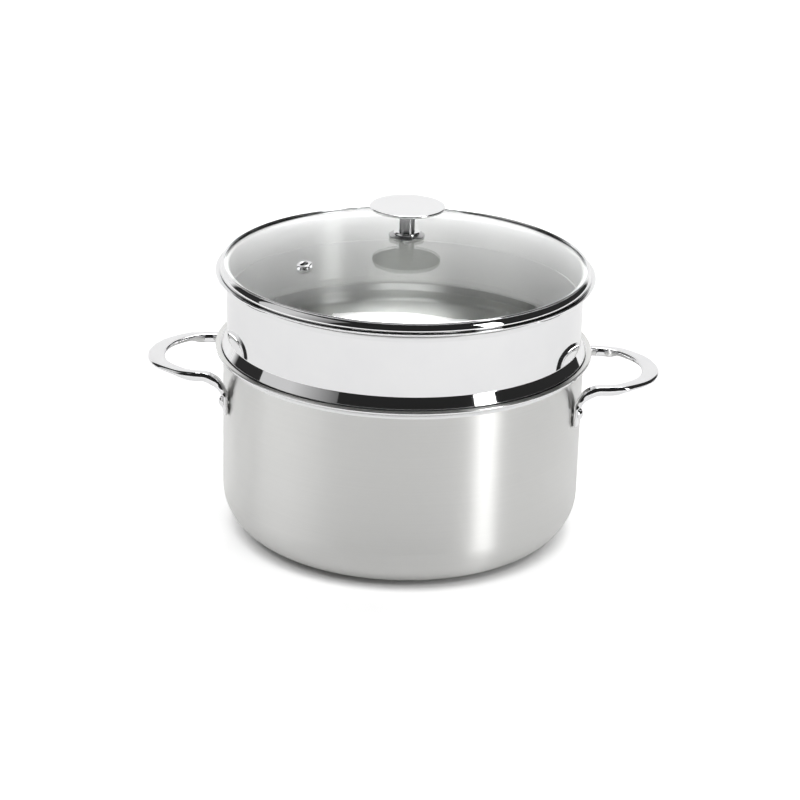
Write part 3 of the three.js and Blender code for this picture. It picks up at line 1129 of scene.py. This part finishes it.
@dataclass
class GlassLid:
    """Domed glass in a rolled steel band with a deep skirt, and a steam vent, in millimetres."""

    dome: float = 397.79
    centre: float = -189.87
    thick: float = 4.0
    hole: float = 3.5
    sheet: float = 0.6
    gap: float = 0.2
    skirt: float = 118.1
    skirt_foot: float = 166.0
    hem: float = 1.0
    hem_round: float = 0.5
    skirt_round: float = 0.8
    edge_round: float = 0.2
    lined: float = 119.3
    roll: float = 1.4
    roll_r: float = 123.6
    roll_z: float = 184.62
    lean: float = 4.0
    grip: float = 122.4
    curl: float = 0.45
    vent_offset: float = 80.0
    vent_bearing: float = math.radians(-145.0)
    vent_bore: float = 2.4
    vent_tube: float = 3.0
    vent_flange: float = 5.0
    vent_flange_thick: float = 0.8
    vent_gap: float = 0.3
    # Roundings at the bore and at the flange.
    vent_low: Pair = (0.3, 0.6)
    vent_high: Pair = (0.9, 0.7)
    steps: int = 192

    def level(self, r: float, offset: float) -> float:
        """Level of the dome at a radius.

        Args:
            r: The radius.
            offset: Distance outside the top of the glass.

        Returns:
            The level.
        """
        return self.centre + math.sqrt((self.dome + offset) ** 2 - r * r)

    def edge(self) -> float:
        """Bearing of the rolled edge from the dome's centre, in degrees from upright."""
        return math.degrees(math.atan2(self.roll_r, self.roll_z - self.centre))

    def face(self) -> tuple[float, float, float]:
        """The band's curved outer face, which runs smoothly from the rolled edge to the dome.

        Returns:
            The radius and level of its centre, and its own radius.
        """
        turn = math.radians(self.lean)
        up = self.roll_z - self.centre
        near = self.dome + self.gap + self.sheet - self.roll
        along = self.roll_r * math.cos(turn) + up * math.sin(turn)
        back = (near * near - self.roll_r**2 - up * up) / (2 * (near - along))
        return (self.roll_r - back * math.cos(turn), self.roll_z - back * math.sin(turn),
                back + self.roll)

    def vent_place(self) -> Matrix:
        """Where the vent's axis meets the top of the glass.

        Returns:
            The move from the origin to that place.
        """
        x = self.vent_offset * math.cos(self.vent_bearing)
        y = self.vent_offset * math.sin(self.vent_bearing)
        out = Vector((x, y, math.sqrt(self.dome**2 - self.vent_offset**2)))
        turn = Vector((0, 0, 1)).rotation_difference(out).to_matrix().to_4x4()
        return Matrix.Translation((out + Vector((0, 0, self.centre))) * MM) @ turn

    def glass(self) -> Piece:
        """Domed pane with a round edge, a middle hole and a vent hole.

        Returns:
            The pane.
        """
        face_r, face_z, _ = self.face()
        under = self.dome - self.thick
        edge = self.edge()
        brow = math.degrees(math.atan2(face_r, face_z - self.centre))
        inner = math.degrees(math.asin(self.hole / under))
        outer = math.degrees(math.asin(self.hole / self.dome))
        obj = turn_piece("lid_pane", [
            Corner(self.hole, self.centre + math.sqrt(under**2 - self.hole**2)),
            Bend(0.0, self.centre, edge - inner, 28),
            Bend(self.roll_r, self.roll_z, edge - 90.0 - self.lean, 6),
            Bend(face_r, face_z, self.lean + brow - 90.0, 10),
            Bend(0.0, self.centre, outer - brow, 28),
        ], closed=True, steps=self.steps)
        bpy.ops.object.select_all(action="DESELECT")
        bpy.ops.mesh.primitive_cylinder_add(
            vertices=32, radius=(self.vent_tube + self.vent_gap) * MM, depth=4 * self.thick * MM)
        tool = bpy.context.object
        lay(tool, self.vent_place())
        cut_holes(obj, tool)
        smooth(obj)
        return obj

    def rolled_band(self) -> Piece:
        """Band rolled round the glass, with its skirt.

        Returns:
            The band.
        """
        face_r, face_z, face = self.face()
        middle = face - self.sheet / 2
        top = math.degrees(math.acos((self.grip - face_r) / middle))
        curl_r = self.grip + self.curl * math.cos(math.radians(top))
        curl_z = face_z + (middle + self.curl) * math.sin(math.radians(top))
        under = -self.thick - self.gap - self.sheet / 2
        edge = self.edge()
        obj = turn_piece("lid_rim", [
            Corner(curl_r + self.curl, curl_z),
            Bend(curl_r, curl_z, -180.0 - top, 18),
            Bend(face_r, face_z, top - self.lean, 12),
            Bend(self.roll_r, self.roll_z, self.lean + 90.0 - edge, 8),
            Corner(self.skirt, self.level(self.skirt, under), self.skirt_round, 4),
            Corner(self.skirt, self.skirt_foot, self.hem_round, 3),
            Corner(self.skirt - self.hem, self.skirt_foot),
        ], steps=self.steps)
        thicken(obj, self.sheet)
        soften(obj, self.edge_round, 2)
        smooth(obj)
        return obj

    def eyelet(self) -> Piece:
        """Pressed eyelet through the glass.

        Returns:
            The eyelet.
        """
        above = self.vent_gap
        below = -self.thick - self.vent_gap
        rim = self.vent_flange_thick
        obj = turn_piece("vent_ring", [
            Corner(self.vent_bore, below - rim, self.vent_low[0], 3),
            Corner(self.vent_flange, below - rim, self.vent_low[1], 4),
            Corner(self.vent_flange, below),
            Corner(self.vent_tube, below),
            Corner(self.vent_tube, above),
            Corner(self.vent_flange, above),
            Corner(self.vent_flange, above + rim, self.vent_high[1], 5),
            Corner(self.vent_bore, above + rim, self.vent_high[0], 6),
        ], closed=True, steps=48)
        smooth(obj)
        lay(obj, self.vent_place())
        return obj

    def build(self) -> list[Piece]:
        """Builds and dresses the lid's glass, band and vent.

        Returns:
            The three pieces.
        """
        glass, band, vent = self.glass(), self.rolled_band(), self.eyelet()
        dress(glass, "lid_glass", Body.LID, Slot.GLASS, GLASS)
        dress(band, "lid_band", Body.LID, Slot.POLISHED, MIRROR, LINING)
        for side in band.data.polygons:
            side.material_index = int(side.center.xy.length < self.lined * MM)
        dress(vent, "vent_eyelet", Body.LID, Slot.POLISHED, BAR)
        return [glass, band, vent]


@dataclass
class Knob:
    """Disc knob on a stem, with its collar, dish, seals, washer and screw, in millimetres."""

    crown: float = 207.92
    under: float = 203.92
    gap: float = 0.2
    seal: float = 0.4
    disc: float = 25.35
    disc_thick: float = 1.9
    rise: float = 21.0
    stem: float = 5.15
    collar: float = 8.6
    collar_height: float = 1.5
    dish: float = 12.2
    dish_seat: float = 9.0
    dish_thick: float = 0.7
    dish_drop: float = 0.6
    dish_edge: float = 0.4
    bore: float = 2.8
    washer: float = 5.5
    washer_thick: float = 1.0
    screw: float = 2.5
    screw_head: float = 4.2
    screw_head_thick: float = 2.2
    screw_grip: float = 8.0
    clear: float = 0.3
    cross_arm: float = 1.05
    cross_reach: float = 1.6
    cross_deep: float = 2.4
    disc_round: float = 0.9
    stem_round: float = 0.4
    collar_round: float = 1.3
    dish_round: float = 0.8
    dish_bend: float = 0.3
    head_round: float = 1.4
    tip_round: float = 0.8
    small_round: float = 0.2
    thin_round: float = 0.15
    seal_round: float = 0.1

    def ring(self, name: str, inner: float, outer: float, low: float, high: float,
             edge: float) -> Piece:
        """Ring with round edges.

        Args:
            name: The ring's name.
            inner: Inner radius.
            outer: Outer radius.
            low: Lower level.
            high: Upper level.
            edge: Radius of the edges.

        Returns:
            The ring.
        """
        obj = turn_piece(name, [
            Corner(inner, low, edge, 3), Corner(outer, low, edge, 4),
            Corner(outer, high, edge, 4), Corner(inner, high, edge, 3),
        ], closed=True)
        smooth(obj)
        return obj

    def cross(self, screw: Piece, low: float) -> None:
        """Cuts the driver's cross into the screw's head.

        Args:
            screw: The screw.
            low: Level of the head's end.
        """
        join_flat(screw, low)
        bpy.ops.object.select_all(action="DESELECT")
        bpy.ops.mesh.primitive_cube_add(size=self.cross_arm * MM)
        tool = bpy.context.object
        near, far = self.cross_arm * MM / 2 - SAME, self.cross_arm * MM / 2 + SAME
        for way in (Vector((1, 0, 0)), Vector((-1, 0, 0)), Vector((0, 1, 0)), Vector((0, -1, 0))):
            step = way * self.cross_reach * MM
            with editing(tool, lambda p: p.dot(way) > near and max(map(abs, p.xy)) < far):
                bpy.ops.mesh.extrude_region_move(TRANSFORM_OT_translate={"value": step})
        deep = Matrix.Diagonal((1, 1, self.cross_deep, 1))
        lay(tool, Matrix.Translation((0, 0, low * MM)) @ deep)
        cut_holes(screw, tool)

    def build(self) -> list[Piece]:
        """Builds and dresses the knob and its fastening.

        Returns:
            The pieces.
        """
        seal_top = self.crown + self.gap + self.seal
        dish_low = seal_top + self.gap
        dish_top = dish_low + self.dish_thick
        foot = dish_top + self.gap
        top = self.crown + self.rise
        disc_low = top - self.disc_thick
        washer_top = self.under - 2 * self.gap - self.seal
        seat = washer_top - self.washer_thick - self.gap
        head_low = seat - self.screw_head_thick
        tip = foot + self.screw_grip
        rim = dish_low - self.dish_drop
        disc = turn_piece("knob_plate", [
            Corner(0.0, disc_low), Corner(self.disc, disc_low, self.disc_round, 6),
            Corner(self.disc, top, self.disc_round, 6), Corner(0.0, top),
        ], steps=128)
        stem = turn_piece("knob_post", [
            Corner(0.0, tip + 2 * self.clear), Corner(self.bore, tip + 2 * self.clear),
            Corner(self.bore, foot), Corner(self.stem, foot, self.stem_round, 3),
            Corner(self.stem, disc_low - self.gap, self.small_round, 2),
            Corner(0.0, disc_low - self.gap),
        ])
        dish = turn_piece("knob_saucer", [
            Corner(self.bore, dish_low), Corner(self.dish_seat, dish_low, self.dish_bend, 3),
            Corner(self.dish - self.dish_edge, rim), Corner(self.dish, rim, self.thin_round, 3),
            Corner(self.dish, rim + self.dish_edge, self.small_round, 4),
            Corner(self.collar, dish_top, self.dish_round, 5), Corner(self.bore, dish_top),
        ], closed=True)
        collar = turn_piece("knob_foot", [
            Corner(self.stem + self.clear, foot), Corner(self.collar, foot, self.thin_round, 3),
            Corner(self.collar, foot + self.collar_height, self.collar_round, 8),
            Corner(self.stem + self.clear, foot + self.collar_height, self.small_round, 3),
        ], closed=True)
        screw = turn_piece("lid_bolt", [
            Corner(0.0, head_low), Corner(self.screw_head, head_low, self.head_round, 6),
            Corner(self.screw_head, seat, self.small_round, 2), Corner(self.screw, seat),
            Corner(self.screw, tip, self.tip_round, 3), Corner(0.0, tip),
        ], steps=48)
        self.cross(screw, head_low)
        for piece in (disc, stem, dish, collar, screw):
            smooth(piece)
        upper = self.ring("seal_ring_upper", self.bore, self.dish_seat - self.clear,
                          self.crown + self.gap, seal_top, self.seal_round)
        lower = self.ring("seal_ring_lower", self.bore, self.washer,
                          washer_top + self.gap, self.under - self.gap, self.seal_round)
        washer = self.ring("washer_ring", self.bore, self.washer,
                           washer_top - self.washer_thick, washer_top, self.thin_round)
        dress(disc, "knob_disc", Body.LID, Slot.BRUSHED, KNOB_TOP, POST_PAINTED_SHADE)
        # The disc's underside takes the darker steel: painted shade under the disc, while its top
        # keeps the light knob steel.
        for face in disc.data.polygons:
            face.material_index = int(face.normal.z < -FLAT)
        # The stem and the dish take the darker steel as painted shade and painted dark reflection.
        for piece, node, slot, finish in (
            (stem, "knob_stem", Slot.POLISHED, POST_PAINTED_SHADE),
            (dish, "knob_dish", Slot.POLISHED, POST_PAINTED_SHADE),
            (collar, "knob_collar", Slot.POLISHED, BAR),
            (washer, "lid_washer", Slot.POLISHED, BAR),
            (screw, "lid_screw", Slot.POLISHED, BAR),
            (upper, "seal_upper", Slot.SEAL, SEAL),
            (lower, "seal_lower", Slot.SEAL, SEAL),
        ):
            dress(piece, node, Body.LID, slot, finish)
        return [disc, stem, collar, dish, upper, lower, washer, screw]


# Studio


@dataclass(frozen=True)
class SoftBox:
    """One soft lamp, in metres and watts, that may show in metal and may fade to one end."""

    name: str
    place: Place
    aim: Place
    size: Pair
    power: float
    mirrored: bool = True
    fade: float = 0.0
    fade_start: float = 0.45

    def dim(self, lamp: bpy.types.Light) -> None:
        """Lets the lamp fade towards one end.

        Args:
            lamp: The lamp.
        """
        shader = Shader(lamp)
        along = shader.parts(shader.node("ShaderNodeNewGeometry", output="Parametric"))[0]
        kept = shader.fade(along, self.fade_start, 1.0, 1.0, 1.0 - self.fade)
        light = shader.node("ShaderNodeEmission", sockets={"Color": kept, "Strength": 1.0})
        shader.node("ShaderNodeOutputLight", sockets={"Surface": light})

    def build(self) -> None:
        """Builds the lamp."""
        lamp = bpy.data.lights.new(self.name, "AREA")
        lamp.shape = "RECTANGLE"
        lamp.size, lamp.size_y = self.size
        lamp.energy = self.power
        if self.fade:
            self.dim(lamp)
        obj = bpy.data.objects.new(self.name, lamp)
        bpy.context.collection.objects.link(obj)
        obj.location = self.place
        look = Vector(self.aim) - Vector(self.place)
        obj.rotation_euler = look.to_track_quat("-Z", "Y").to_euler()
        obj.visible_glossy = self.mirrored


@dataclass
class Studio:
    """White floor that curves up behind, soft boxes, and a room that is dark in front."""

    left: float = 4.5
    right: float = 2.0
    depth: float = 9.0
    height: float = 4.0
    sweep: float = 1.2
    drop: float = 0.0003
    dull: Colour = (0.83, 0.83, 0.83)
    white: Colour = (0.85, 0.85, 0.85)
    straight_lift: float = 2.5
    # Start and end in metres from the middle, then the glow at each; the near glow stays off next
    # to the pot, a painted contact shadow.
    near_glow_painted_shadow: tuple[float, ...] = (0.1045, 0.118, 0.0, 0.24)
    far_glow: tuple[float, ...] = (0.4, 2.5, 0.0, 0.65)
    room_stops: tuple[Pair, ...] = ((0.0, 0.02), (0.84, 0.03), (0.88, 0.95), (1.0, 1.0))
    room_way: Pair = (-0.09, 0.49)
    boxes: tuple[SoftBox, ...] = (
        SoftBox("top_box", (0.06, 0.67, 2.08), (0.0, 0.0, 0.2), (1.08, 1.15), 24.0),
        SoftBox("right_box", (1.72, -1.25, 0.85), (0.0, 0.0, 0.2), (0.5, 1.6), 12.0),
        SoftBox("left_box", (-1.48, -0.6, 0.85), (0.0, 0.0, 0.2), (1.7, 1.6), 5.5, fade=0.8),
        SoftBox("floor_box", (0.0, -0.8, 2.0), (0.0, 0.0, 0.0), (1.0, 0.8), 11.0, mirrored=False),
    )

    def sheet(self) -> Piece:
        """Floor and backdrop in one sheet.

        Returns:
            The sheet.
        """
        bpy.ops.object.select_all(action="DESELECT")
        bpy.ops.mesh.primitive_plane_add(size=1.0, location=((self.right - self.left) / 2, 0, 0))
        obj = added("studio_floor")
        obj.scale = (self.left + self.right, self.depth, 1.0)
        bpy.ops.object.transform_apply(location=True, rotation=True, scale=True)
        with editing(obj, lambda point: point.y > 0):
            bpy.ops.mesh.extrude_region_move(TRANSFORM_OT_translate={"value": (0, 0, self.height)})
        with editing(obj, lambda point: point.y > 0 and point.z < SAME):
            bpy.ops.mesh.bevel(offset=self.sweep, segments=16, affect="EDGES")
        smooth(obj, 60.0)
        lay(obj, Matrix.Translation((0, 0, -self.drop)))
        return obj

    def floor(self) -> None:
        """Lays the floor, which keeps the shadow and is white further out, also in the metal; next
        to the pot its glow is held off, which paints a darker contact shadow.
        """
        made = bpy.data.materials.new("floor_white")
        shader = Shader(made)
        grain = shader.noise(shader.place(), 3.0, 2.0)
        colour = shader.between(grain, self.dull, self.white)
        diffuse = shader.node("ShaderNodeBsdfDiffuse", sockets={"Color": colour})
        ray = shader.node("ShaderNodeLightPath").socket.node
        straight, glossy, through = (Wire(shader, ray.outputs[f"Is {kind} Ray"])
                                     for kind in ("Camera", "Glossy", "Transmission"))
        seen = straight * self.straight_lift + glossy + through
        far = shader.node("ShaderNodeVectorMath", {"operation": "LENGTH"},
                          {0: shader.place()}, "Value")
        # No glow next to the pot: a painted contact shadow round its foot.
        lift = shader.fade(far, *self.near_glow_painted_shadow) + shader.fade(far, *self.far_glow)
        glow = shader.node("ShaderNodeEmission", sockets={"Color": seen * lift, "Strength": 1.0})
        both = shader.node("ShaderNodeAddShader", sockets={0: diffuse, 1: glow})
        shader.node("ShaderNodeOutputMaterial", sockets={"Surface": both})
        obj = self.sheet()
        obj.data.materials.append(made)

    def room(self) -> None:
        """Room light: white behind, dark above and on the camera's side."""
        world = bpy.data.worlds.new("studio_room")
        bpy.context.scene.world = world
        shader = Shader(world)
        x, y, _ = shader.parts(shader.node("ShaderNodeTexCoord", output="Generated"))
        across, back = self.room_way
        fraction = y * back + x * across + 0.5
        tone = shader.node("ShaderNodeValToRGB", {"stops": self.room_stops}, {"Fac": fraction})
        light = shader.node("ShaderNodeBackground", sockets={"Color": tone, "Strength": 1.0})
        shader.node("ShaderNodeOutputWorld", sockets={"Surface": light})

    def build(self) -> None:
        """Builds the floor, the lamps and the room."""
        self.floor()
        for box in self.boxes:
            box.build()
        self.room()


@dataclass(frozen=True)
class PhotoCamera:
    """Camera at the photograph's viewing angle."""

    target: Place = (0.0, 0.0, 0.1034)
    distance: float = 1.74165
    elevation: float = math.radians(21.25)
    azimuth: float = math.radians(1.2)
    roll: float = math.radians(1.63)
    sensor: float = 36.0
    lens: float = 114.495
    shift: Pair = (-0.00325, -0.02425)

    def build(self) -> None:
        """Builds the camera and makes it the scene's."""
        camera = bpy.data.cameras.new("photo_camera")
        camera.sensor_width = self.sensor
        camera.lens = self.lens
        camera.shift_x, camera.shift_y = self.shift
        obj = bpy.data.objects.new("photo_camera", camera)
        bpy.context.collection.objects.link(obj)
        away = Vector((math.sin(self.azimuth) * math.cos(self.elevation),
                       -math.cos(self.azimuth) * math.cos(self.elevation),
                       math.sin(self.elevation)))
        look = (-away).to_track_quat("-Z", "Y") @ Quaternion((0, 0, 1), self.roll)
        obj.rotation_euler = look.to_euler()
        obj.location = Vector(self.target) + away * self.distance
        bpy.context.scene.camera = obj


def main() -> None:
    """Builds the object and the studio round it."""
    logging.basicConfig(level=logging.INFO, format="%(name)s %(message)s")
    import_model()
    bpy.context.scene.view_settings.view_transform = "Standard"
    PhotoCamera().build()
    for part in (PotBody(), LoopHandle(), Rivets(), SteamerInsert(), GlassLid(), Knob()):
        for piece in part.build():
            LOG.info("%s: %d faces", piece.name, len(piece.data.polygons))
    Studio().build()


if __name__ == "__main__":
    main()
